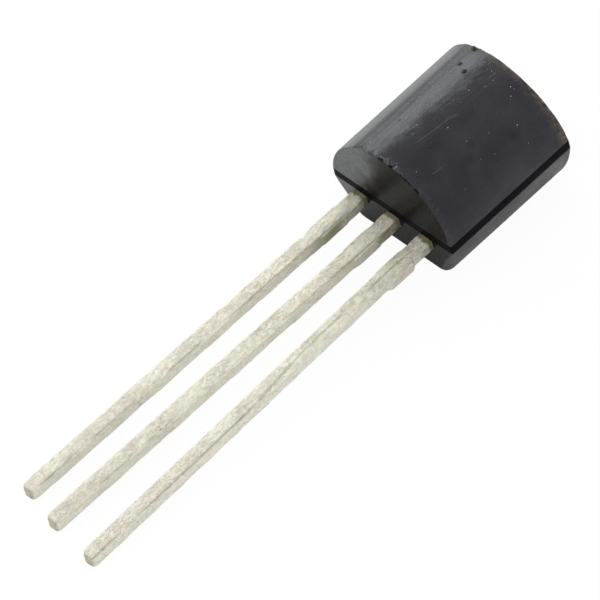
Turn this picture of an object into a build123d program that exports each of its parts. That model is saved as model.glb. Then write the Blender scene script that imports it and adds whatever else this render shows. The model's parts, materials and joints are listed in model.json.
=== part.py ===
import os
from math import asin, atan2, cos, degrees, hypot, radians, sin, tan

from build123d import *

# Three-lead transistor in a moulded case, all sizes in millimetres.
# The pieces are drawn in the case's own frame: X along the row of leads, Y from the lead end
# to the far end, Z from the flat front to the round back, and the parting plane at Z = 0.
# They are then tipped together on to the surface that the loose part lies on.

# Moulded case
case_width = 4.6
case_length = 4.7
back_rise = 2.3            # parting plane to the crown of the round back
front_depth = 1.32         # parting plane to the flat front
front_width = 3.6          # between the corners of the flat front, before they are rounded
land_height = 0.25         # upright band round the back half, at the parting plane
back_end_draft = 3.0       # degrees, on the end faces of the back half
front_end_draft = 2.0      # degrees, on the end faces of the front half
front_side_radius = 0.3    # long edges of the flat front
front_end_radius = 0.08    # short edges of the flat front
corner_radius = 0.12       # upright corners of the front half

# Stamped lead frame
lead_pitch = 1.27
lead_width = 0.45
frame_thickness = 0.40
lead_length = 13.5         # from the case to the cut tip of the longest lead, the emitter's
collector_short = 0.25     # how much shorter the other two are cut
base_short = 0.6
tip_round = 0.1            # rounded corners of a cut tip
emitter_splay = 0.26       # sideways bend at the tip, towards +X
collector_splay = -0.12
base_splay = -0.14

# What is left of the dam bar that tied the leads together during moulding
dam_offset = 0.75          # case to the near side of the bar
dam_height = 1.05
dam_stub = 0.03            # how far a trimmed stub stands out of a lead's side
emitter_dam_stub = 0.08    # the stub on the outer side of the emitter lead, cut less close
dam_slope = 0.08           # length of the slope at each end of a stub

# Lead frame inside the case
finger_width = 0.7
finger_start = 1.4         # case's lead end to the wide part of a bond finger
finger_length = 1.55
finger_corner = 0.18
ear_start = 0.7            # case's lead end to the anchor ear on a finger's shank
ear_length = 0.35
ear_reach = 0.2
pad_gap = 0.22             # stamped gap between the die pad and each finger
pad_start = 1.15           # case's lead end to the pad's shoulders
pad_length = 2.0
pad_corner = 0.15
notch_width = 0.2          # anchor notches in the sides of the pad
notch_depth = 0.12
notch_offset = 0.25        # pad's straight side to the near side of the notch

# Chip and its bonds
die_size = 0.5
die_thickness = 0.2
attach_margin = 0.03       # how far the bonding layer stands out round the die
attach_thickness = 0.02
bond_spread = 0.13         # die centre to each bond, along X and Y
wire_diameter = 0.03
ball_diameter = 0.09
ball_height = 0.03
loop_rise = 0.22           # die's top to the top of a wire's loop
loop_radius = 0.09
stitch_length = 0.12
stitch_width = 0.07
stitch_height = 0.018
stitch_from_tip = 0.5      # end of a finger to the middle of the stitch

pad_width = 2 * (lead_pitch - finger_width / 2 - pad_gap)
shoulder = (pad_width - lead_width) / 2
notch_start = pad_start + shoulder + notch_offset
notch_end = notch_start + notch_width
pad_end = pad_start + pad_length
die_middle = (notch_end + pad_end) / 2       # the die sits between the notches and the pad's end
die_top = attach_thickness + die_thickness


def case_section():
    """Outline across the case: a flat front, slanted sides, an upright land and a round back."""
    half = case_width / 2
    with BuildSketch(Plane.XZ) as section:
        with BuildLine():
            Polyline((half, land_height), (half, 0), (front_width / 2, -front_depth),
                     (-front_width / 2, -front_depth), (-half, 0), (-half, land_height))
            ThreePointArc((-half, land_height), (0, back_rise), (half, land_height))
        make_face()
        front_corners = section.vertices().sort_by(Axis.Y)[:2]
        fillet(front_corners, front_side_radius)
    return section.sketch


def case_side():
    """Outline along the case, which gives the draft of its end faces."""
    back_inset = (back_rise - land_height) * tan(radians(back_end_draft))
    front_inset = front_depth * tan(radians(front_end_draft))
    with BuildSketch(Plane.YZ) as side:
        with BuildLine():
            Polyline((0, 0), (0, land_height), (back_inset, back_rise),
                     (case_length - back_inset, back_rise), (case_length, land_height), (case_length, 0),
                     (case_length - front_inset, -front_depth), (front_inset, -front_depth), (0, 0))
        make_face()
        front_corners = side.vertices().sort_by(Axis.Y)[:2]
        fillet(front_corners, front_end_radius)
    return side.sketch


def rounded_front():
    """The front half's walls, which lean in all round and meet in rounded upright corners."""
    front_length = case_length - 2 * front_depth * tan(radians(front_end_draft))
    parting = RectangleRounded(case_width, case_length, corner_radius)
    front = RectangleRounded(front_width, front_length, corner_radius)
    middle = case_length / 2
    return loft([Pos(0, middle, 0) * parting, Pos(0, middle, -front_depth) * front])


def moulding():
    """The case as a full block, before the room for what it encloses is taken out."""
    across = extrude(case_section(), amount=-case_length)
    along = extrude(case_side(), amount=case_width, both=True)
    block = across & along
    back = split(block, bisect_by=Plane.XY, keep=Keep.TOP)
    front = split(block, bisect_by=Plane.XY, keep=Keep.BOTTOM)
    return back + (front & rounded_front())


def bent(points, length, splay):
    """Lean the free part of a lead sideways, from its dam stubs down to its tip."""
    bend = -(dam_offset + dam_height)
    run = length + bend
    return [(x + splay * max(0, bend - y) / run, y) for x, y in points]


def free_edge(length, stub, bottom_first):
    """One side of a lead outside the case, for a lead centred on X = 0 with this side at +X."""
    side = lead_width / 2
    near = -dam_offset
    far = near - dam_height
    points = [(side - tip_round, -length), (side, -length + tip_round),
              (side, far), (side + stub, far + dam_slope), (side + stub, near - dam_slope), (side, near)]
    return points if bottom_first else points[::-1]


def mirrored(points):
    return [(-x, y) for x, y in points]


def finger_edges():
    """Sides of an outer lead inside the case: the outer one with its ear, then the inner one."""
    shank = lead_width / 2
    head = finger_width / 2
    ear_top = ear_start + ear_length
    top = finger_start + finger_length
    outer = [(shank, ear_start), (shank + ear_reach, ear_start), (shank + ear_reach, ear_top),
             (shank, ear_top), (shank, finger_start), (head, finger_start),
             (head, top - finger_corner), (head - finger_corner, top)]
    inner = [(finger_corner - head, top), (-head, top - finger_corner), (-head, finger_start),
             (-shank, finger_start)]
    return outer + inner


def pad_edge(bottom_first):
    """One side of the centre lead inside the case: sloped shoulder, notch and clipped corner."""
    shank = lead_width / 2
    half = pad_width / 2
    dip = half - notch_depth
    points = [(shank, pad_start), (half, pad_start + shoulder), (half, notch_start), (dip, notch_start),
              (dip, notch_end), (half, notch_end), (half, pad_end - pad_corner),
              (half - pad_corner, pad_end)]
    return points if bottom_first else points[::-1]


def stamped(outline, place_x):
    """Cut an outline out of the frame's sheet, with its top face on the parting plane."""
    with BuildSketch() as blank:
        with BuildLine():
            Polyline(*outline, close=True)
        make_face()
    return Pos(place_x, 0, 0) * extrude(blank.sketch, amount=-frame_thickness)


def outer_lead(side, length, splay, outer_stub):
    """An outer lead with its bond finger; side is 1 at +X and -1 at -X."""
    outer = bent(free_edge(length, outer_stub, True), length, splay * side)
    inner = bent(mirrored(free_edge(length, dam_stub, False)), length, splay * side)
    outline = outer + finger_edges() + inner
    if side < 0:
        outline = mirrored(outline)
    return stamped(outline, side * lead_pitch)


def centre_lead():
    """The centre lead, which widens into the die pad."""
    length = lead_length - collector_short
    right = bent(free_edge(length, dam_stub, True), length, collector_splay)
    left = bent(mirrored(free_edge(length, dam_stub, False)), length, collector_splay)
    return stamped(right + pad_edge(True) + mirrored(pad_edge(False)) + left, 0)


def chip_layer(width, low, high):
    """A square layer on the pad, between two heights above the frame's top face."""
    place = Pos(0, die_middle, (low + high) / 2)
    return place * Box(width, width, high - low)


def bond_wire(side, finger):
    """A looped wire: a ball on the chip, and a flattened stitch on the finger beside it."""
    start_x = side * bond_spread
    start_y = die_middle + side * bond_spread
    end_x = side * lead_pitch
    end_y = finger_start + finger_length - stitch_from_tip
    run = hypot(end_x - start_x, end_y - start_y)
    loop_top = die_top + loop_rise
    touch = stitch_height / 2
    path = FilletPolyline((0, 0, die_top + ball_height / 2), (0, 0, loop_top),
                          (run / 2, 0, loop_top - loop_radius), (run - stitch_length, 0, touch),
                          (run, 0, touch), radius=loop_radius)
    start = Plane(origin=path @ 0, z_dir=path % 0)
    wire = sweep(start * Circle(wire_diameter / 2), path=path)
    ball = Pos(0, 0, die_top + ball_height / 2) * Cylinder(ball_diameter / 2, ball_height)
    stitch = Pos(run, 0, stitch_height / 2) * Box(stitch_length, stitch_width, stitch_height)
    turn = degrees(atan2(end_y - start_y, end_x - start_x))
    place = Pos(start_x, start_y, 0) * Rot(0, 0, turn)
    return place * (wire + ball + stitch) - finger


def rest_place(pieces):
    """Tip the part on to the front's lead-end edge and its longest lead, and centre it over the origin."""
    front_inset = front_depth * tan(radians(front_end_draft))
    edge_y = front_inset + front_end_radius
    edge_z = front_end_radius - front_depth
    span = hypot(edge_y + lead_length, edge_z + frame_thickness)
    slope = atan2(edge_z + frame_thickness, edge_y + lead_length) - asin(front_end_radius / span)
    tipped = Rot(-degrees(slope), 0, 0)
    box = Compound([tipped * piece for piece in pieces]).bounding_box()
    middle = box.center()
    return Pos(-middle.X, -middle.Y, -box.min.Z) * tipped


def main():
    emitter = outer_lead(1, lead_length, emitter_splay, emitter_dam_stub)
    base = outer_lead(-1, lead_length - base_short, base_splay, dam_stub)
    inside = {
        "emitter_lead": emitter,
        "collector_lead": centre_lead(),
        "base_lead": base,
        "die_attach": chip_layer(die_size + 2 * attach_margin, 0, attach_thickness),
        "die": chip_layer(die_size, attach_thickness, die_top),
        "emitter_bond_wire": bond_wire(1, emitter),
        "base_bond_wire": bond_wire(-1, base),
    }
    case = moulding()
    for piece in inside.values():
        case -= piece
    pieces = {"case": case, **inside}
    place = rest_place(pieces.values())
    os.makedirs("parts", exist_ok=True)
    for name, piece in pieces.items():
        export_step(place * piece, f"parts/{name}.step")
        print(name, round(piece.volume, 4))
    print("tilt", place.orientation.X)


main()
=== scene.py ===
import json
import math

import bpy
import numpy as np
from mathutils import Matrix, Quaternion, Vector


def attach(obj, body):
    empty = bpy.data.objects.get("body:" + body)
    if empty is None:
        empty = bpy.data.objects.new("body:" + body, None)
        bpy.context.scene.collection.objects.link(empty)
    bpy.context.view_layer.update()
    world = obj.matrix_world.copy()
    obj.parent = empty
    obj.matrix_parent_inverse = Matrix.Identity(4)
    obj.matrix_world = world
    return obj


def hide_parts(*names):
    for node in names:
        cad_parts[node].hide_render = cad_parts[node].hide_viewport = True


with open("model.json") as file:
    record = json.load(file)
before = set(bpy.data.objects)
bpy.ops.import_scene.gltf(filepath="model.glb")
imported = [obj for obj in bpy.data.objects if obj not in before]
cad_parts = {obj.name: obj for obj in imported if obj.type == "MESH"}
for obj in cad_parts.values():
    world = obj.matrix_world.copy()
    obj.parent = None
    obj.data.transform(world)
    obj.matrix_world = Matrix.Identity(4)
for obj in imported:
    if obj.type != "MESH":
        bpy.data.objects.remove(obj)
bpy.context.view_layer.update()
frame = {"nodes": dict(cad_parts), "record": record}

# A loose three-lead transistor, lying with its round back up on a pale floor.
# Its outer pieces are drawn in the case's own frame, in millimetres: X along the row of leads,
# Y from the lead end to the far end, Z from the flat front to the round back, with the leads'
# top faces and the parting plane at Z = 0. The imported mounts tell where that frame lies.

print("frame: finding the case's own axes")
millimetre = 0.001
mounts = {mount["name"]: mount for mount in frame["record"]["mounts"]}
caseY = -Vector(mounts["lead_row"]["axis"])
caseZ = -Vector(mounts["flat_front"]["axis"])
turned = Matrix((caseY.cross(caseZ), caseY, caseZ)).transposed().to_4x4()


def cadPoints(node, toCase):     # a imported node's points, in the case's frame
    mesh = frame["nodes"][node].data
    points = np.empty(len(mesh.vertices) * 3)
    mesh.vertices.foreach_get("co", points)
    matrix = np.array(toCase)
    return points.reshape(-1, 3) @ matrix[:3, :3].T + matrix[:3, 3]


leadMiddle = Matrix.Translation(mounts["lead_row"]["pos_m"]) @ turned @ Matrix.Scale(millimetre, 4)
leadTop = cadPoints("collector_lead", leadMiddle.inverted())[:, 2].max()
place = leadMiddle @ Matrix.Translation((0, 0, leadTop))      # from the case's frame to the scene
caseCad = cadPoints("case", place.inverted())
caseHalf = caseCad[:, 0].max()
caseLength = caseCad[:, 1].max()
caseCrown = caseCad[:, 2].max()
caseFront = -caseCad[:, 2].min()


class Wire:                      # an output of a node, which takes part in sums
    def __init__(self, tree, socket):
        self.tree = tree
        self.socket = socket

    def maths(self, operation, *values):
        return self.tree.node("ShaderNodeMath", {"operation": operation}, dict(enumerate(values)))

    def other(self, name):       # another output of the same node
        return Wire(self.tree, self.socket.node.outputs[name])

    def __add__(self, value):
        return self.maths("ADD", self, value)

    def __sub__(self, value):
        return self.maths("SUBTRACT", self, value)

    def __rsub__(self, value):
        return self.maths("SUBTRACT", value, self)

    def __neg__(self):
        return 0 - self

    def __mul__(self, value):
        return self.maths("MULTIPLY", self, value)

    def __abs__(self):
        return self.maths("ABSOLUTE", self)

    __radd__ = __add__
    __rmul__ = __mul__


class Tree:                      # a tree of nodes, of a material or of Geometry Nodes
    def __init__(self, tree):
        self.tree = tree

    def node(self, kind, settings=None, values=None, out=0):
        made = self.tree.nodes.new(kind)
        for name, value in (settings or {}).items():
            setattr(made, name, value)
        for name, value in (values or {}).items():
            if isinstance(value, Wire):
                self.tree.links.new(value.socket, made.inputs[name])
            else:
                made.inputs[name].default_value = value
        return Wire(self, made.outputs[out]) if len(made.outputs) else made

    def blend(self, mask, low, high):        # between two colours
        return self.node("ShaderNodeMix", {"data_type": "RGBA"}, {"Factor": mask, 6: low, 7: high}, 2)

    def step(self, value, low, high):        # 0 below low, 1 above high, smooth between
        values = {"Value": value, "From Min": low, "From Max": high}
        return self.node("ShaderNodeMapRange", {"interpolation_type": "SMOOTHSTEP"}, values)

    def pattern(self, point, squeeze, scale, detail, roughness, seed, *ends):    # noise, or a mask of it
        factors = {0: point, 1: (1, squeeze, 1)}
        spot = self.node("ShaderNodeVectorMath", {"operation": "MULTIPLY"}, factors)
        values = {"Vector": spot, "W": seed, "Scale": scale, "Detail": detail, "Roughness": roughness}
        noise = self.node("ShaderNodeTexNoise", {"noise_dimensions": "4D"}, values)
        return self.step(noise, *ends) if ends else noise

    def attribute(self, name):
        return self.node("ShaderNodeAttribute", {"attribute_name": name}, out="Fac")


def rgb(red, green, blue):
    return (red, green, blue, 1)


def startMaterial(name):
    material = bpy.data.materials.new(name)
    material.use_nodes = True
    material.node_tree.nodes.clear()
    return material, Tree(material.node_tree)


def casePoint(tree):             # millimetres in the case's frame
    values = {"Vector": tree.node("ShaderNodeTexCoord", out="Object"), "Location": place.translation,
              "Rotation": turned.to_euler(), "Scale": [millimetre] * 3}
    return tree.node("ShaderNodeMapping", {"vector_type": "TEXTURE"}, values)


def finishMaterial(tree, color, roughness, height, depth, metallic=0.0, fixed=None):
    bumps = {"Height": height, "Strength": 1.0, "Distance": depth * millimetre}
    values = {"Base Color": color, "Roughness": roughness, "Metallic": metallic,
              "Normal": tree.node("ShaderNodeBump", values=bumps)}
    shader = tree.node("ShaderNodeBsdfPrincipled", values={**values, **(fixed or {})})
    tree.node("ShaderNodeOutputMaterial", values={"Surface": shader})


print("materials: moulded epoxy")
epoxyLook = {                    # depth is the bump's, in millimetres
    "back": {"dark": (0.010, 0.0096, 0.0143), "light": (0.0235, 0.0230, 0.0292), "rough": 0.22,
             "sheen": 0.28, "streaks": 1.0, "grain": 0.7, "wear": 1.0, "depth": 0.006,
             # the back's film is dust haze and a painted reflection on the -X side, and its shoulder colour
             # is a painted highlight
             "filmAndSheen": {"strength": 0.75, "color": (0.100, 0.108, 0.107), "edge": (0.75, 1.35),
                      "ragged": 0.25, "slope": 0.0, "shoulder": (0.140, 0.148, 0.146)}},
    # the land: nearly black with little sheen, painted shade on the upright band at the parting line
    "land": {"dark": (0.0015, 0.0015, 0.002), "light": (0.003, 0.003, 0.004), "rough": 0.5,
             "sheen": 0.03, "streaks": 0.3, "grain": 0.4, "wear": 0.0, "depth": 0.004, "filmAndSheen": None},
    "front": {"dark": (0.016, 0.016, 0.017), "light": (0.052, 0.052, 0.054), "rough": 0.42,
              "sheen": 0.4, "streaks": 0.5, "grain": 1.0, "wear": 0.5, "depth": 0.012,
              "filmAndSheen": {"strength": 0.2, "color": (0.100, 0.106, 0.105), "edge": (0.75, 1.35),
                       "ragged": 0.25, "slope": 0.0, "shoulder": None}},
    # the end face: darker base, painted shade between the leads; its greyed film is partly dust haze and
    # partly a painted reflection of the lit floor, lighter on the left
    "end": {"dark": (0.002, 0.002, 0.002), "light": (0.004, 0.004, 0.0045), "rough": 0.27,
            "sheen": 0.08, "streaks": 0.0, "grain": 0.3, "wear": 0.0, "depth": 0.003,
            "filmAndSheen": {"strength": 0.7, "color": (0.205, 0.213, 0.216), "edge": (1.35, 2.30),
                     "ragged": 0.05, "slope": 0.45, "shoulder": None}},
}
epoxyPatterns = {                # squeeze along Y, scale, detail, roughness, seed, and a mask's two ends
    "clouds": (1, 0.8, 5, 0.62, 0),
    "fine": (1, 26, 3, 0.6, 3),
    "streak": (0.05, 10, 5, 0.75, 5),
    "fineStreak": (0.06, 24, 3, 0.6, 6),
    "hairs": (0.07, 26, 1, 0.4, 9, 0.69, 0.75),
    "hairPlaces": (1, 1.3, 2, 0.5, 8, 0.45, 0.6),
    "mottle": (0.5, 6, 6, 0.72, 12, 0.42, 0.60),
    "blotches": (0.6, 3, 5, 0.65, 13, 0.40, 0.60),
    "farWander": (1, 2.2, 3, 0.6, 14),
    "scuffs": (1, 9, 4, 0.7, 15, 0.42, 0.56),
    "scuffHues": (1, 2.5, 2, 0.5, 16, 0.45, 0.6),
    "nearWander": (1, 3.5, 4, 0.6, 17),
    "nearScuffs": (1, 14, 4, 0.7, 18, 0.45, 0.62),
}
filmAndSheenShape = {                    # the greyed film on the -X side, dust haze that also paints a reflection: shares, and places in millimetres
    "clouds": 1.6, "level": 0.7, "mottle": 0.25, "blotches": 0.35, "lines": 0.5,
    "fineLines": 0.8, "lineEdge": (0.40, 0.60), "fadeAlong": (0.5, 2.0), "fade": 0.7, "rough": 0.22,
    "thickFrom": (1.15, 1.42), "shoulderEnd": (-2.15, -1.90), "shoulderPlain": 0.75,
    "streakWander": 0.1, "streakCore": 0.4,
}
streakGaps = {                 # streaks along the film where the film and its painted reflection are thinner, in millimetres
    "outer": {"x": -1.54, "width": 0.04, "strength": 0.4},
    "inner": {"x": -1.12, "width": 0.10, "strength": 0.8},
    "broad": {"x": -0.98, "width": 0.32, "strength": 0.25},
    "narrow": {"x": -0.83, "width": 0.09, "strength": 0.6},
    "last": {"x": -0.66, "width": 0.06, "strength": 0.5},
}
rimLook = {                      # scuffs at both rims: reach in millimetres, share and colours
    "far": (0.42, 0.08), "farWander": 0.5, "farShare": 0.8, "farRough": 0.25,
    "brown": (0.110, 0.075, 0.055), "olive": (0.090, 0.095, 0.045),
    "near": (0.10, 0.38), "nearWander": 0.7, "nearShare": 0.9, "pale": (0.15, 0.155, 0.155),
    "nearFrom": (-1.3, -0.2), "nearTo": (0.2, 0.9), "nearLess": 0.85,
}
scratches = {                    # start and end on the round back, in X and Y, and width
    "long": {"start": (0.30, 1.05), "end": (0.46, 2.55), "width": 0.010},
    "upper": {"start": (0.33, 3.85), "end": (0.335, 4.25), "width": 0.014},
    "lower": {"start": (1.21, 0.72), "end": (1.24, 1.15), "width": 0.012},
    "middle": {"start": (0.05, 2.3), "end": (0.12, 2.9), "width": 0.008},
}
markLook = {                     # share and colour of the fine marks, and how deep they are
    "hairShare": 0.18, "hairColor": (0.12, 0.12, 0.125), "hairDepth": 0.4,
    "scratchShare": 0.35, "scratchColor": (0.16, 0.16, 0.165), "scratchDepth": 0.4,
    "pitDarkShare": 0.95, "pitDarkColor": (0.003, 0.003, 0.003),
}


def scratchMask(tree, across, along, mark):
    (x0, y0), (x1, y1) = mark["start"], mark["end"]
    slope = (x1 - x0) / (y1 - y0)
    offset = abs(across - (along * slope + (x0 - y0 * slope)))
    fade = 0.1                   # where it starts and ends
    between = tree.step(along, y0, y0 + fade) * (1 - tree.step(along, y1 - fade, y1))
    return (1 - tree.step(offset, mark["width"] * 0.5, mark["width"])) * between


def filmAndPaintedSheen(tree, layer, streaked, at, noise, color):         # its share, and the colour with it on; the film is dust haze that also paints reflections
    across, along, up = at
    lean = (up - filmAndSheenShape["level"]) * layer["slope"]
    side = noise("clouds") * filmAndSheenShape["clouds"] + noise("mottle") * layer["ragged"] + lean - across
    border = tree.step(side, *layer["edge"])
    mottled = noise("mottle") * filmAndSheenShape["mottle"]
    if not streaked:
        nearEnd = 1 - tree.step(along, *filmAndSheenShape["fadeAlong"]) * filmAndSheenShape["fade"]
        filmAndSheen = border * (mottled + (1 - filmAndSheenShape["mottle"])) * nearEnd * layer["strength"]
        return filmAndSheen, tree.blend(filmAndSheen, color, rgb(*layer["color"]))
    thick = tree.step(-across, *filmAndSheenShape["thickFrom"])
    lines = noise("streak") + (noise("fineStreak") - 0.5) * filmAndSheenShape["fineLines"]
    lines = tree.step(lines, *filmAndSheenShape["lineEdge"])
    patchy = mottled + noise("blotches") * filmAndSheenShape["blotches"]
    filmAndSheen = border * (patchy + lines * filmAndSheenShape["lines"] + thick) * layer["strength"]
    for mark in streakGaps.values():
        offset = abs(across - mark["x"] + (noise("clouds") - 0.5) * filmAndSheenShape["streakWander"])
        gap = 1 - tree.step(offset, mark["width"] * filmAndSheenShape["streakCore"], mark["width"])
        filmAndSheen = filmAndSheen * (1 - gap * mark["strength"])
    color = tree.blend(filmAndSheen, color, rgb(*layer["color"]))
    if layer["shoulder"]:        # painted highlight, paler high up on the -X side
        plain = filmAndSheenShape["shoulderPlain"]
        shoulder = thick * tree.step(across, *filmAndSheenShape["shoulderEnd"]) * (lines * (1 - plain) + plain)
        color = tree.blend(border * shoulder, color, rgb(*layer["shoulder"]))
    return filmAndSheen, color


def epoxy(name, look):
    material, tree = startMaterial("epoxy_" + name)
    point = casePoint(tree)
    across = tree.node("ShaderNodeSeparateXYZ", values={"Vector": point}, out="X")
    along, up = across.other("Y"), across.other("Z")
    made = {}

    def noise(kind):             # each pattern is made once, where it is first asked for
        if kind not in made:
            made[kind] = tree.pattern(point, *epoxyPatterns[kind])
        return made[kind]

    hairs = noise("hairs") * noise("hairPlaces") * look["streaks"]
    color = tree.blend(tree.step(noise("clouds"), 0.35, 0.7), rgb(*look["dark"]), rgb(*look["light"]))
    roughness = look["rough"] + (noise("streak") - 0.5) * (0.35 * look["streaks"])
    roughness = roughness + (noise("fine") - 0.5) * 0.12
    ridges = noise("streak") * 0.7 + noise("fineStreak") * 0.35
    height = ridges * look["streaks"] + noise("fine") * look["grain"] - hairs * markLook["hairDepth"]
    # the greyed film: dust haze, and painted reflection
    if look["filmAndSheen"]:
        at = (across, along, up)
        filmAndSheen, color = filmAndPaintedSheen(tree, look["filmAndSheen"], look["streaks"] > 0, at, noise, color)
        roughness = roughness + filmAndSheen * filmAndSheenShape["rough"]
    if look["wear"]:             # brown and olive scuffs along the far rim
        wander = (noise("farWander") - 0.5) * rimLook["farWander"]
        rim = tree.step(along + wander, *(caseLength - reach for reach in rimLook["far"]))
        brown = tree.blend(noise("scuffHues"), rgb(*rimLook["brown"]), rgb(*rimLook["olive"]))
        color = tree.blend(rim * noise("scuffs") * (rimLook["farShare"] * look["wear"]), color, brown)
        roughness = roughness + rim * (rimLook["farRough"] * look["wear"])
    color = tree.blend(hairs * markLook["hairShare"], color, rgb(*markLook["hairColor"]))
    if look["wear"]:             # scuffs and caught dust along the lead end's rim
        ragged = along + (noise("nearWander") - 0.5) * rimLook["nearWander"]
        band = (1 - tree.step(ragged, *rimLook["near"])) * noise("nearScuffs")
        band = band * tree.step(across, *rimLook["nearFrom"])
        band = band * (1 - tree.step(across, *rimLook["nearTo"]) * rimLook["nearLess"])
        color = tree.blend(band * rimLook["nearShare"], color, rgb(*rimLook["pale"]))
    if name == "back":
        for mark in scratches.values():
            cut = scratchMask(tree, across, along, mark) * tree.step(noise("fine"), 0.3, 0.55)
            color = tree.blend(cut * markLook["scratchShare"], color, rgb(*markLook["scratchColor"]))
            height = height - cut * markLook["scratchDepth"]
        # darker in the pits
        pitDarkening = tree.attribute("pitDarkening") * markLook["pitDarkShare"]
        color = tree.blend(pitDarkening, color, rgb(*markLook["pitDarkColor"]))
    fixed = {"Specular IOR Level": look["sheen"]}
    finishMaterial(tree, color, roughness, height, look["depth"], fixed=fixed)
    return material


epoxies = {name: epoxy(name, look) for name, look in epoxyLook.items()}

print("materials: tinned leads")
tinLook = {
    "cream": (0.755, 0.735, 0.62), "grey": (0.55, 0.53, 0.45), "yellow": (0.63, 0.595, 0.385),
    "tan": (0.62, 0.59, 0.48), "worn": (0.44, 0.40, 0.30), "olive": (0.150, 0.137, 0.040),
    "dark": (0.17, 0.155, 0.11), "paleTinAndSideLight": (0.87, 0.855, 0.74), "pink": (0.66, 0.605, 0.53),
    "rough": 0.42, "metal": 0.3, "depth": 0.022, "foldWidth": 0.04,
    "rougherFrom": (-7.0, -0.5), "smootherFrom": (7.5, 11.5),    # towards the case, and towards the tips
}
tinPatterns = {                  # squeeze along Y, scale, detail, roughness, seed, and a mask's two ends
    "patches": (0.45, 2.4, 4, 0.62, 2),
    "tint": (0.7, 6, 5, 0.7, 10),
    "grain": (1, 17, 5, 0.75, 1),
    "flecks": (0.7, 11, 5, 0.7, 4, 0.54, 0.70),
    "blush": (0.45, 3.6, 3, 0.6, 19, 0.46, 0.62),
    "clean": (0.8, 9, 4, 0.7, 20, 0.50, 0.62),
    "folds": (0.45, 7, 4, 0.6, 6),
}


def tin(name, look):
    material, tree = startMaterial(name)
    point = casePoint(tree)
    along = tree.node("ShaderNodeSeparateXYZ", values={"Vector": point}, out="Y")
    noise = {kind: tree.pattern(point, *values) for kind, values in tinPatterns.items()}
    grain, tint = noise["grain"], noise["tint"]
    foldLine = 1 - tree.step(abs(noise["folds"] - 0.5), 0.0, look["foldWidth"])      # between lumps of tin
    crinkled = tree.attribute("crinkle")
    rough = tree.step(along, *look["rougherFrom"])
    smooth = tree.step(-along, *look["smootherFrom"])
    layers = (                   # each colour, and how much of it lies over those before
        ("yellow", tree.step(tint, 0.48, 0.66) * (0.55 + rough * 0.45)),
        ("pink", noise["blush"] * (0.6 - rough * 0.35)),
        ("paleTinAndSideLight", noise["clean"] * (0.75 - rough * 0.35 - smooth * 0.45)),
        # painted light: the side faces lighter, away from the case
        ("paleTinAndSideLight", tree.attribute("paleTinAndSideLight") * 0.65),
        # tan: tarnish near the case, and painted shade on the right side and underside
        ("tan", tree.attribute("tarnishAndShade") * (0.1 + noise["patches"] * 0.5)),
        ("worn", tree.step(grain, 0.48, 0.68) * (0.42 + rough * 0.2)),
        ("dark", foldLine * (0.03 + crinkled * 0.2)),
        ("dark", noise["flecks"] * (0.25 + rough * 0.05 + crinkled * 0.4)),
        # olive: stain near the case, and painted shade under the leads
        ("olive", tree.attribute("stainAndUnderShade")),
        ("dark", tree.attribute("crease")),
        ("worn", tree.attribute("cut") * 0.8),
    )
    color = tree.blend(tree.step(noise["patches"], 0.40, 0.66), rgb(*look["cream"]), rgb(*look["grey"]))
    for kind, share in layers:
        color = tree.blend(share, color, rgb(*look[kind]))
    roughness = look["rough"] + (grain - 0.5) * 0.5
    height = grain + (rough + crinkled) * (tint - 0.5) * 1.2 - foldLine * 0.4
    metallic = tree.step(grain, 0.3, 0.75) * (2 * look["metal"])
    finishMaterial(tree, color, roughness, height, look["depth"], metallic)
    return material


leadTin = tin("dull_tin", tinLook)

print("materials: grains of dust and chipped epoxy")
grainLook = {
    "dust": {"dark": (0.22, 0.24, 0.24), "light": (0.55, 0.58, 0.58), "rough": 0.7},
    "chips": {"dark": (0.05, 0.05, 0.05), "light": (0.26, 0.27, 0.26), "rough": 0.6},
}


def grainMaterial(name, look):
    material, tree = startMaterial(name)
    shade = tree.pattern(casePoint(tree), 1, 6, 2, 0.5, 21)
    color = tree.blend(tree.step(shade, 0.4, 0.6), rgb(*look["dark"]), rgb(*look["light"]))
    finishMaterial(tree, color, look["rough"] + shade * 0.2, shade, 0.002)
    return material


grains = {name: grainMaterial(name, look) for name, look in grainLook.items()}

print("materials: chip, bond and wires")
insideLook = {
    "silicon": {"low": (0.10, 0.10, 0.13), "high": (0.20, 0.20, 0.25), "rough": 0.12, "metal": 0.7,
                "size": 9, "nodes": ("die",)},
    "silver_bond": {"low": (0.42, 0.41, 0.38), "high": (0.60, 0.58, 0.53), "rough": 0.5, "metal": 0.6,
                    "size": 30, "nodes": ("die_attach",)},
    "gold": {"low": (0.82, 0.56, 0.18), "high": (0.95, 0.70, 0.28), "rough": 0.22, "metal": 1.0,
             "size": 40, "nodes": ("emitter_bond_wire", "base_bond_wire")},
}


def dressInside(name, look):
    material, tree = startMaterial(name)
    mottle = tree.pattern(casePoint(tree), 1, look["size"], 3, 0.6, 0)
    color = tree.blend(tree.step(mottle, 0.35, 0.65), rgb(*look["low"]), rgb(*look["high"]))
    finishMaterial(tree, color, look["rough"] + mottle * 0.12, mottle, 0.001, look["metal"])
    for node in look["nodes"]:
        mesh = frame["nodes"][node].data
        mesh.materials.clear()
        mesh.materials.append(material)


for name, look in insideLook.items():
    dressInside(name, look)


mixers = (73856093, 19349663, 83492791, 2654435761, 1274126177)      # odd numbers that mix a grid's places


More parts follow.
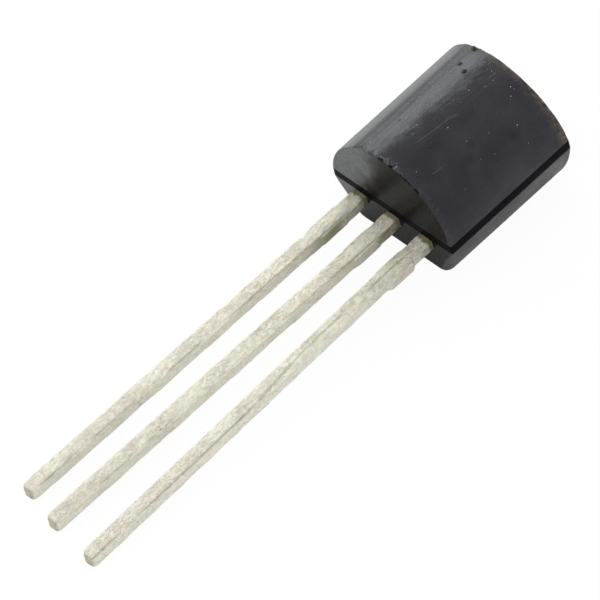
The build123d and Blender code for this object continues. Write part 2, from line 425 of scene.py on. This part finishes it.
def lattice(points, cell, seed):     # smooth noise from 0 to 1, between random heights on a grid
    spot = np.asarray(points, float) / cell
    base = np.floor(spot).astype(np.int64)
    part = spot - base
    part = part * part * (3 - 2 * part)
    total = np.zeros(len(spot))
    for corner in range(8):
        step = np.array([corner & 1, corner >> 1 & 1, corner >> 2 & 1])
        x, y, z = (base + step).T
        mixed = x * mixers[0] ^ y * mixers[1] ^ z * mixers[2] ^ seed * mixers[3]
        mixed = (mixed ^ mixed >> 13) * mixers[4] & 0x7FFFFFFF
        height = (mixed ^ mixed >> 11) % 65536 / 65535
        total += height * np.prod(np.where(step, part, 1 - part), axis=1)
    return total


def layered(points, squeeze, cell, seed, layers):        # finer noise over coarser, drawn out along Y
    spots = points * [1, squeeze, 1]
    gains = [0.5 ** layer for layer in range(layers)]
    total = sum(gain * lattice(spots, cell * gain, seed + layer) for layer, gain in enumerate(gains))
    return total / sum(gains)


def ease(value, low, high):      # 0 below low, 1 above high, smooth between
    part = np.clip((value - low) / (high - low), 0, 1)
    return part * part * (3 - 2 * part)


def vertexNormals(points, faces):
    quads = np.array(faces)
    turns = np.cross(points[quads[:, 2]] - points[quads[:, 0]], points[quads[:, 3]] - points[quads[:, 1]])
    normals = np.zeros_like(points)
    for corner in range(4):
        np.add.at(normals, quads[:, corner], turns)
    return normals / np.maximum(np.linalg.norm(normals, axis=1, keepdims=True), 1e-12)


def seated(points):              # from the case's frame to the scene
    matrix = np.array(place)
    return points @ matrix[:3, :3].T + matrix[:3, 3]


def addMesh(name, points, faces, materials, attributes):
    mesh = bpy.data.meshes.new(name)
    mesh.from_pydata(seated(points).tolist(), [], [list(dict.fromkeys(face)) for face in faces])
    for material in materials:
        mesh.materials.append(material)
    for label, values in attributes.items():
        mesh.attributes.new(label, "FLOAT", "POINT").data.foreach_set("value", values.astype(np.float32))
    mesh.shade_smooth()
    mesh.update()
    piece = bpy.data.objects.new(name, mesh)
    bpy.context.scene.collection.objects.link(piece)
    return piece


print("case: moulded shell")
caseShape = {                    # millimetres and degrees, heights from the parting plane, then steps
    # the land's painted shade reaches a little above the land itself, on the sides and on the end faces
    "landHeight": 0.25, "landShadeTop": 0.31, "endLandShadeTop": 0.29, "backDraft": 3.0, "frontDraft": 2.0,
    "frontWidth": 3.6, "sideRadius": 0.3, "sideBulge": 0.05,
    "nearCorner": 0.05, "nearFrontCorner": 0.22, "farCorner": 0.10, "cornerReach": 0.3,
    "squareTo": (0.2, 0.9), "frontFrom": (0, 0.7), "frontRimFrom": (0.2, 1.0),
    "nearRim": 0.03, "farRim": 0.07, "frontRim": 0.05, "sharpEdge": 17,
    "arcSteps": 240, "landSteps": 5, "sideSteps": 22, "bendSteps": 7, "frontSteps": 56,
    "rimSteps": 6, "cornerSteps": 9, "lengthSteps": 110,
}


def backCircle(shape):           # height of its centre, and radius
    land = shape["landHeight"]
    centre = (caseCrown ** 2 - land ** 2 - caseHalf ** 2) / (2 * (caseCrown - land))
    return centre, caseCrown - centre


def caseOutline(shape):          # right half, from the crown round to the middle of the flat front
    land = shape["landHeight"]
    centre, radius = backCircle(shape)
    angles = np.linspace(math.pi / 2, math.atan2(land - centre, caseHalf), shape["arcSteps"] // 2 + 1)
    arc = np.column_stack((radius * np.cos(angles), centre + radius * np.sin(angles)))
    heights = np.linspace(land, 0, shape["landSteps"] + 1)[1:]
    upright = np.column_stack((np.full(len(heights), caseHalf), heights))
    top = np.array([caseHalf, 0.0])
    foot = np.array([shape["frontWidth"] / 2, -caseFront])
    slant = (top - foot) / np.linalg.norm(top - foot)
    reach = shape["sideRadius"] / math.tan(math.acos(-slant[0]) / 2)
    start = foot + slant * reach
    shares = np.linspace(0, 1, shape["sideSteps"] + 1)[1:, None]
    bulge = 4 * shape["sideBulge"] * shares * (1 - shares)
    side = top + (start - top) * shares + np.array([slant[1], -slant[0]]) * bulge
    hub = np.array([foot[0] - reach, shape["sideRadius"] - caseFront])
    first = math.atan2(start[1] - hub[1], start[0] - hub[0])
    bends = np.linspace(first, -math.pi / 2, shape["bendSteps"] + 1)[1:]
    bend = hub + shape["sideRadius"] * np.column_stack((np.cos(bends), np.sin(bends)))
    return np.vstack((arc, upright, side, bend))


def buildCase(shape):
    right = caseOutline(shape)
    levels, columns = len(right), shape["frontSteps"]
    flat = [(right[-1, 0] * (1 - 2 * step / columns), right[-1, 1]) for step in range(1, columns)]
    loop = np.array([*right, *flat, *(right[:0:-1] * [-1, 1])])
    count = len(loop)
    ahead = np.roll(loop, -1, 0) - np.roll(loop, 1, 0)
    outward = np.column_stack((-ahead[:, 1], ahead[:, 0]))
    outward /= np.linalg.norm(outward, axis=1, keepdims=True)
    frontward = ease(-loop[:, 1], *shape["frontFrom"])
    nearCorner = shape["nearCorner"] + (shape["nearFrontCorner"] - shape["nearCorner"]) * frontward
    square = 1 - ease(loop[:, 1], *shape["squareTo"])
    backLean, frontLean = (math.tan(math.radians(shape[name])) for name in ("backDraft", "frontDraft"))

    def ring(inset, depth, far):             # one loop of points, at a depth from an end face
        flatRing = loop - outward * np.reshape(inset, (-1, 1))
        x, z = flatRing.T
        corner = square * (shape["farCorner"] if far else nearCorner)
        left = corner - np.minimum(depth, corner)
        narrow = corner - np.sqrt(corner ** 2 - left ** 2)
        width = caseHalf + (caseHalf - shape["frontWidth"] / 2) * np.minimum(z, 0) / caseFront
        start = np.maximum(z - shape["landHeight"], 0) * backLean + np.maximum(-z, 0) * frontLean + depth
        return np.column_stack((x * (width - narrow) / width, caseLength - start if far else start, z))

    def endRings(rim, far):
        radius = rim + (shape["frontRim"] - rim) * ease(-loop[:, 1], *shape["frontRimFrom"])
        turns = np.radians(np.linspace(0, 90, shape["rimSteps"] + 1)[:-1])
        rings = [ring(radius * (1 - np.sin(turn)), radius * (1 - np.cos(turn)), far) for turn in turns]
        turns = np.radians(np.linspace(0, 90, shape["cornerSteps"] + 1))
        rest = shape["cornerReach"] - radius
        return rings + [ring(0, radius + rest * (1 - np.cos(turn)), far) for turn in turns]

    near = endRings(shape["nearRim"], False)
    distant = endRings(shape["farRim"], True)
    shares = np.linspace(0, 1, shape["lengthSteps"] + 1)[1:-1]
    rings = near + [near[-1] + (distant[-1] - near[-1]) * share for share in shares] + distant[::-1]
    points = [point for each in rings for point in each]
    faces = []
    for row in range(len(rings) - 1):
        for column in range(count):
            after = (column + 1) % count
            faces.append((row * count + column, row * count + after,
                          (row + 1) * count + after, (row + 1) * count + column))
    sideFaces = len(faces)

    def cap(row, far):                       # rows of equal height, strung between the ring's two halves
        offset = row * count
        grid = np.full((levels, columns + 1), offset)
        for level in range(1, levels):
            first, last = offset + level, offset + count - level
            if level < levels - 1:
                grid[level] = [first, *range(len(points), len(points) + columns - 1), last]
                points.extend(np.linspace(points[first], points[last], columns + 1)[1:-1])
            else:
                grid[level] = range(first, last + 1)
        for level in range(levels - 1):
            for column in range(columns):
                face = (grid[level, column], grid[level, column + 1],
                        grid[level + 1, column + 1], grid[level + 1, column])
                faces.append(face[::-1] if far else face)

    cap(0, False)
    cap(len(rings) - 1, True)
    return np.array(points), faces, sideFaces


caseWear = {                     # millimetres, and pairs between which a mark grows from none to full
    "skin": 0.002, "waves": 0.008, "ridges": 0.006, "ridgesOnSides": 0.3,
    "specks": 0.03, "speckEdge": (0.84, 0.94),
    "rimBite": 0.045, "biteReach": (0.05, 0.03), "bitesFrom": (-1.9, -1.2), "biteEdge": (0.5, 0.72),
    "largeBites": 0.9, "smallBites": 0.7, "farBite": 0.03, "farReach": 0.1,
    "pits": ((-0.76, 4.53, 0.10, 0.09), (-0.71, 3.85, 0.048, 0.06), (-0.36, 3.70, 0.055, 0.07),
             (1.76, 3.31, 0.11, 0.004), (1.29, 2.16, 0.11, 0.004)),      # X, Y, radius and depth
    "pitSqueeze": 0.9, "pitRagged": 0.6, "shallow": 0.01, "shallowPitDark": 0.5,
    "bites": ((-0.92, 0.09), (-0.47, 0.10), (-0.07, 0.11), (0.32, 0.07), (1.26, 0.08)),   # X and half width
    "dustSpots": ((1.0, 3.9, 0.45), (0.9, 3.3, 0.3), (-0.65, 2.6, 0.35), (-0.5, 1.8, 0.4), (0.0, 4.1, 0.4)),
    "thinDust": 0.12, "dustier": -0.2, "noDust": 0.15, "topOnly": (0.3, 0.6),
    "chipRow": (0.12, 0.09), "chipsFrom": (-0.9, -0.2), "chipsTo": (1.5, 1.8), "chipEdge": (0.42, 0.62),
    "fewerChips": 0.9, "fewerFrom": (0.3, 0.7),
}
caseNoise = {                    # squeeze along Y, cell in millimetres, seed and layers
    "waves": (0.3, 0.6, 11, 3), "ridges": (0.04, 0.13, 17, 2), "pitEdges": (1, 0.07, 23, 2),
    "specks": (1, 0.11, 29, 2), "nearBites": (1, 0.14, 31, 3), "farBites": (1, 0.2, 37, 3),
    "chips": (1, 0.3, 51, 2),
}


def pitDistance(points, wear, mark):         # from the middle of a pit, 1 at its ragged edge
    x, y, size, _ = mark
    away = np.hypot(points[:, 0] - x, (points[:, 1] - y) * wear["pitSqueeze"]) / size
    return away + (layered(points, *caseNoise["pitEdges"]) - 0.5) * wear["pitRagged"]


def wornDepth(points, normals, shape, wear):     # how far wear has taken the surface back
    land = shape["landHeight"]
    centre, radius = backCircle(shape)
    back = ease(points[:, 2], land, land + 0.1)
    upright = 1 - ease(np.abs(normals[:, 1]), 0.3, 0.8)          # 0 on the end faces
    depth = wear["skin"] + layered(points, *caseNoise["waves"]) * wear["waves"] * upright
    ridged = wear["ridgesOnSides"] + (1 - wear["ridgesOnSides"]) * back
    depth += layered(points, *caseNoise["ridges"]) * wear["ridges"] * ridged * upright
    upward = ease(normals[:, 2], 0.1, 0.4) * back
    for mark in wear["pits"]:
        away = pitDistance(points, wear, mark)
        lip = 0.2 * np.exp(-((away - 1.35) / 0.3) ** 2)
        depth += upward * mark[3] * (np.exp(-away ** 4) - lip)
    specks = layered(points, *caseNoise["specks"])
    depth += upward * ease(specks, *wear["speckEdge"]) * wear["specks"]
    inward = np.maximum(radius - np.hypot(points[:, 0], points[:, 2] - centre), 0)
    lean = np.maximum(points[:, 2] - land, 0) * math.tan(math.radians(shape["backDraft"]))
    away = np.hypot(points[:, 1] - lean, inward)                 # from the near rim
    large = sum(np.exp(-((points[:, 0] - x) / half) ** 4) for x, half in wear["bites"])
    small = ease(layered(points, *caseNoise["nearBites"]), *wear["biteEdge"])
    bite = wear["largeBites"] * large + wear["smallBites"] * small
    ragged = ease(points[:, 0], *wear["bitesFrom"]) * back
    least, more = wear["biteReach"]
    depth += ragged * bite * wear["rimBite"] * np.exp(-(away / (least + more * specks)) ** 2)
    away = np.hypot(caseLength - points[:, 1] - lean, inward)    # from the far rim
    chewed = layered(points, *caseNoise["farBites"]) * wear["farBite"]
    depth += back * chewed * np.exp(-(away / wear["farReach"]) ** 2)
    return np.maximum(depth, 0)


def dressCase(shape, wear):
    points, faces, sideFaces = buildCase(shape)
    normals = vertexNormals(points, faces)
    worn = points - normals * wornDepth(points, normals, shape, wear)[:, None]
    x, y = points[:, 0], points[:, 1]
    heights = points[np.array(faces)].mean(1)[:, 2]
    isEnd = np.arange(len(faces)) >= sideFaces
    # faces below these heights take the land's painted shade
    land = np.where(isEnd, shape["endLandShadeTop"], shape["landShadeTop"])
    onEnd = isEnd & ((heights < 0) | (heights > land))
    names = ("back", "land", "front", "end")
    finish = np.select([onEnd, heights < 0, heights < land], [3, 2, 1], 0)       # places in names
    crown = ease(normals[:, 2], *wear["topOnly"])
    spots = sum(np.exp(-((x - spotX) ** 2 + (y - spotY) ** 2) / size ** 2)
                for spotX, spotY, size in wear["dustSpots"])
    dust = crown * (wear["thinDust"] + spots + wear["thinDust"] * (x < wear["dustier"]))
    row, half = wear["chipRow"]
    rim = np.exp(-((y - row) / half) ** 2) * (np.abs(normals[:, 1]) < 0.9)
    clumps = ease(layered(points, *caseNoise["chips"]), *wear["chipEdge"])
    clumps = clumps * (1 - wear["fewerChips"] * ease(x, *wear["fewerFrom"]))
    chips = rim * ease(x, *wear["chipsFrom"]) * (1 - ease(x, *wear["chipsTo"])) * crown * clumps
    # darker in the pits, the shallow ones less
    pitDarkening = 0
    for mark in wear["pits"]:
        share = 1 if mark[3] > wear["shallow"] else wear["shallowPitDark"]
        pitDarkening = pitDarkening + np.exp(-pitDistance(points, wear, mark) ** 4) * share
    attributes = {"dust": dust * (y < caseLength - wear["noDust"]), "chips": chips, "pitDarkening": crown * pitDarkening}
    piece = addMesh("moulded_case", points, faces, [epoxies[name] for name in names], attributes)
    piece.data.polygons.foreach_set("material_index", finish.astype(np.int32))
    piece.data.set_sharp_from_angle(angle=math.radians(shape["sharpEdge"]))      # the wear adds none
    piece.data.vertices.foreach_set("co", seated(worn).ravel())
    piece.data.update()
    outside = np.sum((points - points.mean(0)) * normals, 1) > 0
    print("   outward share", round(float(outside.mean()), 3), "faces", len(faces))
    return piece


moulding = dressCase(caseShape, caseWear)

print("leads: tin over the stamped frame")
leadShape = {                    # millimetres, and pairs along Y between which something comes in
    "voxel": 0.025, "smooth": 16, "weld": 0.0005, "leanFrom": 1.8,
    "lumps": 0.006, "grain": 0.012, "crinkle": 0.012, "patchReach": 0.42, "crown": 0.034,
    "groove": 0.015, "grooveWidth": 0.035, "grooveInset": 0.03, "grooveDrop": 0.02, "strays": (-7.5, -4.5),
    "collar": 0.016, "collarEdge": (0.10, 0.17), "collarRagged": 0.16,
    "swell": 0.010, "leftSwell": 0.030, "underShrink": 0.018,
    "dippedFrom": (-0.3, -0.1), "grooveFrom": (0.5, 1.0), "grooveMore": (-3.5, -1.5),
    "nodulesFrom": (0.15, 0.3), "underShadeFrom": (-3.5, -1.0), "tarnishAndShadeFrom": (-6.0, -0.5),
    "sideLightTo": (-3.0, -0.8), "creaseFrom": (-4.5, -1.0),
}
leadNoise = {                    # squeeze along Y, cell in millimetres, seed after the lead's own, layers
    "lumps": (0.5, 0.5, 0, 3), "grain": (1, 0.1, 5, 2), "folds": (0.4, 0.24, 3, 3),
    "clumps": (1, 0.4, 7, 3), "faint": (0.4, 0.9, 8, 3), "reach": (0.5, 0.5, 9, 3),
    "collar": (1, 0.12, 11, 3), "stainAndUnderShade": (0.4, 0.3, 13, 3),
}
leads = {                        # places of crinkled patches along Y, and how strong each mark is
    "emitter_lead": {"seed": 21, "patches": (-0.35, -2.1, -4.6, -5.1, -6.6), "grooved": 0.9,
                     "creased": 0.55, "wander": 0.2, "stained": 0.5, "tarnishedAndShaded": 0.3},
    "collector_lead": {"seed": 41, "patches": (-0.5, -1.7, -3.7, -4.9, -9.0), "grooved": 0.35,
                       "creased": 0.35, "wander": 0.0, "stained": 1.1, "tarnishedAndShaded": 0.8},
    "base_lead": {"seed": 61, "patches": (-0.4, -2.8, -4.1, -5.4, -8.6), "grooved": 0.55,
                  "creased": 0.45, "wander": 0.0, "stained": 2.9, "tarnishedAndShaded": 1.0},
}


def remeshed(node, shape):       # a packed lead's form as an even, rounded mesh, in millimetres
    mesh = frame["nodes"][node].data.copy()
    mesh.transform(place.inverted())
    mesh.materials.clear()
    blank = bpy.data.objects.new("blank", mesh)
    bpy.context.scene.collection.objects.link(blank)
    blank.modifiers.new("weld", "WELD").merge_threshold = shape["weld"]
    voxels = blank.modifiers.new("voxels", "REMESH")
    voxels.mode = "VOXEL"
    voxels.voxel_size = shape["voxel"]
    blank.modifiers.new("smooth", "SMOOTH").iterations = shape["smooth"]
    even = bpy.data.meshes.new_from_object(blank.evaluated_get(bpy.context.evaluated_depsgraph_get()))
    bpy.data.objects.remove(blank)
    points, normals = np.empty(len(even.vertices) * 3), np.empty(len(even.vertices) * 3)
    even.vertices.foreach_get("co", points)
    even.vertices.foreach_get("normal", normals)
    return points.reshape(-1, 3), normals.reshape(-1, 3), [tuple(face.vertices) for face in even.polygons]


def dressLead(node, look, shape):
    points, normals, faces = remeshed(node, shape)
    along = points[:, 1]
    tip = along.min()

    def noise(kind, spots=points):
        squeeze, cell, seed, layers = leadNoise[kind]
        return layered(spots, squeeze, cell, look["seed"] + seed, layers)

    # the lead's own middle, which follows its sideways lean
    atCase = points[(along > -0.6) & (along < 0), 0]
    atTip = points[(along < tip + 0.6) & (along > tip + 0.3), 0]
    middle, half = (atCase.max() + atCase.min()) / 2, (atCase.max() - atCase.min()) / 2
    splay = (atTip.max() + atTip.min()) / 2 - middle
    leaning = np.clip((-along - shape["leanFrom"]) / (-tip - shape["leanFrom"]), 0, 1)
    x = points[:, 0] - middle - splay * leaning

    # its sides, each from 0 to 1
    left = ease(-normals[:, 0], 0.2, 0.7)
    right = ease(normals[:, 0], 0.35, 0.8)
    under = ease(-normals[:, 2], 0.3, 0.7)
    top = ease(normals[:, 2], 0.3, 0.8)
    calm = 1 - 0.7 * left
    dipped = ease(-along, *shape["dippedFrom"])      # only what is outside the case

    folds = 1 - abs(noise("folds") * 2 - 1)
    patches = sum(np.exp(-((along - y) / shape["patchReach"]) ** 2) for y in look["patches"])
    crinkle = np.clip(patches, 0, 1) * ease(noise("clumps"), 0.35, 0.6)
    crinkle = np.clip(crinkle + 0.25 * ease(noise("faint"), 0.5, 0.7), 0, 1)
    comes = noise("reach", points * [0, 1, 0]) + 0.3 * ease(along, *shape["grooveMore"])
    reach = ease(comes, 0.62 - 0.5 * look["grooved"], 0.78 - 0.4 * look["grooved"])
    aside = look["wander"] * ease(along, *shape["strays"])       # the groove strays on to the top
    fromEdge = np.hypot(x - half + shape["grooveInset"] + aside, points[:, 2] + shape["grooveDrop"])
    groove = np.exp(-(fromEdge / shape["grooveWidth"]) ** 2)
    groove *= reach * ease(-along, *shape["grooveFrom"])
    collar = 1 - ease(-along + (noise("collar") - 0.5) * shape["collarRagged"], *shape["collarEdge"])

    depth = noise("lumps") * shape["lumps"]
    depth += noise("grain") * shape["grain"]
    depth += crinkle * ease(folds, 0.55, 0.95) * shape["crinkle"] * calm
    depth += groove * shape["groove"] + collar * shape["collar"]
    depth += top * shape["crown"] * (x / half) ** 2
    thicker = shape["swell"] + (shape["leftSwell"] - shape["swell"]) * left
    thicker = thicker - (thicker + shape["underShrink"]) * under
    depth -= thicker * ease(along, tip + 0.05, tip + 0.3)
    worn = points - normals * (depth * dipped)[:, None]

    stainAndUnderShade = right * ease(along, -look["stained"], -0.45 * look["stained"])
    stainAndUnderShade = stainAndUnderShade * ease(noise("stainAndUnderShade"), 0.25, 0.55)
    # painted shade under the lead near the case, which also darkens its reflection in the end face
    underShade = under * ease(along, *shape["underShadeFrom"])
    stainAndUnderShade = np.maximum.reduce([stainAndUnderShade * 0.7, collar * 0.85, underShade * 0.6])
    # the right side and the underside darker: tarnish near the case, and painted shade
    tarnishAndShade = np.maximum(right * ease(along, *shape["tarnishAndShadeFrom"]), under * 0.5)
    # the side faces are painted lighter away from the case: painted light
    paintedLitSides = ease(np.abs(normals[:, 0]), 0.35, 0.8)
    free = ease(-along, *shape["nodulesFrom"]) * ease(along, tip + 0.1, tip + 0.3)
    attributes = {
        "tarnishAndShade": tarnishAndShade * look["tarnishedAndShaded"],
        "paleTinAndSideLight": paintedLitSides * (1 - ease(along, *shape["sideLightTo"])),
        "stainAndUnderShade": stainAndUnderShade * dipped,
        "crease": groove * np.maximum(look["creased"], 0.8 * ease(along, *shape["creaseFrom"])),
        "crinkle": crinkle,
        "cut": ease(-along, -tip - 0.10, -tip - 0.02),
        "nodules": (1 - under) * calm * (0.3 + crinkle) * free,
    }
    print("  ", node, len(faces), "faces")
    return addMesh("tinned_" + node, worn, faces, [leadTin], attributes)


tinned = {node: dressLead(node, look, leadShape) for node, look in leads.items()}

print("grains: nodules of tin, dust and chips")
scatterLook = {                  # density is per square millimetre, sizes are half widths in millimetres
    "nodules": {"density": 14.0, "smallest": (0.012, 0.010, 0.005), "largest": (0.034, 0.024, 0.014),
                "jitter": 0.006, "seed": 5, "facets": 8},
    "dust": {"density": 12.0, "smallest": (0.005, 0.005, 0.004), "largest": (0.019, 0.015, 0.012),
             "jitter": 0.004, "seed": 8, "facets": 6},
    "chips": {"density": 150.0, "smallest": (0.010, 0.008, 0.006), "largest": (0.036, 0.026, 0.018),
              "jitter": 0.010, "seed": 11, "facets": 6},
}
grainRings = 5
lumpsPerMillimetre = 40


def scatterTree(where):
    group = bpy.data.node_groups.new("scatter_" + where, "GeometryNodeTree")
    kinds = {"Geometry": "Geometry", "Density": "Float", "Smallest": "Vector", "Largest": "Vector",
             "Jitter": "Float", "Facets": "Int", "Seed": "Int", "Material": "Material"}
    inputs = {label: group.interface.new_socket(label, in_out="INPUT", socket_type="NodeSocket" + kind)
              for label, kind in kinds.items()}
    group.interface.new_socket("Geometry", in_out="OUTPUT", socket_type="NodeSocketGeometry")
    tree = Tree(group)
    given = tree.node("NodeGroupInput")
    share = tree.node("GeometryNodeInputNamedAttribute", {"data_type": "FLOAT"}, {"Name": where})
    spots = tree.node("GeometryNodeDistributePointsOnFaces", {"distribute_method": "RANDOM"},
                      {"Mesh": given, "Density": given.other("Density") * share,
                       "Seed": given.other("Seed")})
    spin = tree.node("FunctionNodeRandomValue", {"data_type": "FLOAT_VECTOR"},
                     {0: (0, 0, 0), 1: (0, 0, math.tau), "Seed": 1})
    rotation = tree.node("FunctionNodeRotateRotation", {"rotation_space": "LOCAL"},
                         {"Rotation": spots.other("Rotation"),
                          "Rotate By": tree.node("FunctionNodeEulerToRotation", values={"Euler": spin})})
    scale = tree.node("FunctionNodeRandomValue", {"data_type": "FLOAT_VECTOR"},
                      {0: given.other("Smallest"), 1: given.other("Largest"), "Seed": 2})
    grain = tree.node("GeometryNodeMeshUVSphere", values={"Radius": 1.0, "Rings": grainRings,
                                                          "Segments": given.other("Facets")})
    placed = tree.node("GeometryNodeInstanceOnPoints", values={"Points": spots, "Instance": grain,
                                                               "Rotation": rotation, "Scale": scale})
    real = tree.node("GeometryNodeRealizeInstances", values={"Geometry": placed})
    lump = tree.node("ShaderNodeTexNoise", values={"Vector": tree.node("GeometryNodeInputPosition"),
                                                   "Scale": lumpsPerMillimetre / millimetre}, out="Color")
    centred = tree.node("ShaderNodeVectorMath", {"operation": "SUBTRACT"}, {0: lump, 1: (0.5, 0.5, 0.5)})
    offset = tree.node("ShaderNodeVectorMath", {"operation": "SCALE"},
                       {0: centred, "Scale": given.other("Jitter")})
    moved = tree.node("GeometryNodeSetPosition", values={"Geometry": real, "Offset": offset})
    finish = tree.node("GeometryNodeSetMaterial",
                       values={"Geometry": moved, "Material": given.other("Material")})
    tree.node("NodeGroupOutput", values={"Geometry": finish})
    return group, {label: socket.identifier for label, socket in inputs.items()}


def scatter(name, piece, where, look, material):
    group, sockets = scatterTree(where)
    holder = bpy.data.objects.new(name, piece.data)
    bpy.context.scene.collection.objects.link(holder)
    modifier = holder.modifiers.new("scatter", "NODES")
    modifier.node_group = group
    modifier[sockets["Density"]] = look["density"] / millimetre ** 2
    modifier[sockets["Smallest"]] = [size * millimetre for size in look["smallest"]]
    modifier[sockets["Largest"]] = [size * millimetre for size in look["largest"]]
    modifier[sockets["Jitter"]] = look["jitter"] * millimetre
    modifier[sockets["Facets"]] = look["facets"]
    modifier[sockets["Seed"]] = look["seed"]
    modifier[sockets["Material"]] = material
    mesh = bpy.data.meshes.new_from_object(holder.evaluated_get(bpy.context.evaluated_depsgraph_get()))
    holder.modifiers.remove(modifier)
    holder.data = mesh
    mesh.name = name
    mesh.shade_smooth()
    print("  ", name, len(mesh.polygons), "faces")
    return holder


nodules = {node: scatter("nodules_" + node, piece, "nodules", scatterLook["nodules"], leadTin)
           for node, piece in tinned.items()}
dust = scatter("case_dust", moulding, "dust", scatterLook["dust"], grains["dust"])
chips = scatter("rim_chips", moulding, "chips", scatterLook["chips"], grains["chips"])

print("pieces: the new case and leads in place of the imported ones")
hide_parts("case")
for piece in (moulding, dust, chips):
    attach(piece, "root")
for node in leads:
    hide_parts(node)
    for piece in (tinned[node], nodules[node]):
        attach(piece, "root")

print("stage: floor, lamps and camera")
stageLook = {                    # metres, then how white the floor is to the camera and in reflections
    "floorSize": 1.2, "floorColor": (0.94, 0.94, 0.94), "whiteShare": 0.95, "mirroredShare": 0.10,
}


def buildFloor(look):
    half = look["floorSize"] / 2
    mesh = bpy.data.meshes.new("floor")
    corners = [(-half, -half, 0), (half, -half, 0), (half, half, 0), (-half, half, 0)]
    mesh.from_pydata(corners, [], [(0, 1, 2, 3)])
    material, tree = startMaterial("floor_white")
    matt = tree.node("ShaderNodeBsdfDiffuse", values={"Color": rgb(*look["floorColor"])})
    white = tree.node("ShaderNodeEmission", values={"Color": rgb(1, 1, 1), "Strength": 1.0})
    rays = tree.node("ShaderNodeLightPath", out="Is Camera Ray")
    mirrored = rays.maths("MAXIMUM", rays.other("Is Glossy Ray"), rays.other("Is Transmission Ray"))
    share = rays * look["whiteShare"] + mirrored * look["mirroredShare"]
    mixed = tree.node("ShaderNodeMixShader", values={0: share, 1: matt, 2: white})
    tree.node("ShaderNodeOutputMaterial", values={"Surface": mixed})
    mesh.materials.append(material)
    floor = bpy.data.objects.new("floor", mesh)
    bpy.context.scene.collection.objects.link(floor)


def buildWorld():
    world = bpy.data.worlds.new("studio")
    world.use_nodes = True
    world.node_tree.nodes.clear()
    tree = Tree(world.node_tree)
    background = tree.node("ShaderNodeBackground", values={"Color": rgb(1, 1, 1), "Strength": 1.0})
    tree.node("ShaderNodeOutputWorld", values={"Surface": background})
    bpy.context.scene.world = world


lampLook = {                     # direction from the case, then metres
    "window": {"towards": (-0.787, 0.40, 0.472), "distance": 0.20, "width": 0.10, "height": 0.09,
               "glow": 3.2, "color": (0.97, 1.0, 1.0)},
    "overhead": {"towards": (-0.30, 0.55, 0.78), "distance": 0.25, "width": 0.12, "height": 0.12,
                 "glow": 1.2, "color": (1.0, 1.0, 0.99)},
}


def buildLamp(name, look):
    lamp = bpy.data.lights.new(name, "AREA")
    lamp.shape = "RECTANGLE"
    lamp.size, lamp.size_y = look["width"], look["height"]
    lamp.color = look["color"]
    lamp.energy = look["glow"] * math.pi * look["width"] * look["height"]
    holder = bpy.data.objects.new(name, lamp)
    towards = Vector(look["towards"]).normalized()
    holder.location = place @ Vector((0, caseLength / 2, caseCrown / 2)) + towards * look["distance"]
    holder.rotation_mode = "QUATERNION"
    holder.rotation_quaternion = towards.to_track_quat("Z", "Y")
    bpy.context.scene.collection.objects.link(holder)


cameraLook = {                   # degrees, metres and millimetres of sensor
    "azimuth": 52.89, "elevation": 48.64, "roll": -10.28, "distance": 0.6,
    "frameWidth": 0.016327, "sensor": 36.0, "aim": (-0.000655, 0.001218, 0.000095), "clip": (0.01, 10),
}


def buildCamera(look):
    azimuth, elevation = math.radians(look["azimuth"]), math.radians(look["elevation"])
    back = Vector((math.sin(azimuth) * math.cos(elevation), -math.cos(azimuth) * math.cos(elevation),
                   math.sin(elevation)))
    lens = bpy.data.cameras.new("camera")
    lens.sensor_width = look["sensor"]
    lens.lens = look["sensor"] * look["distance"] / look["frameWidth"]
    lens.clip_start, lens.clip_end = look["clip"]
    camera = bpy.data.objects.new("camera", lens)
    camera.location = Vector(look["aim"]) + back * look["distance"]
    camera.rotation_mode = "QUATERNION"
    roll = Quaternion((0, 0, 1), math.radians(look["roll"]))
    camera.rotation_quaternion = (-back).to_track_quat("-Z", "Y") @ roll
    bpy.context.scene.collection.objects.link(camera)
    bpy.context.scene.camera = camera


buildFloor(stageLook)
buildWorld()
for name, look in lampLook.items():
    buildLamp(name, look)
buildCamera(cameraLook)
bpy.context.scene.view_settings.view_transform = "Standard"
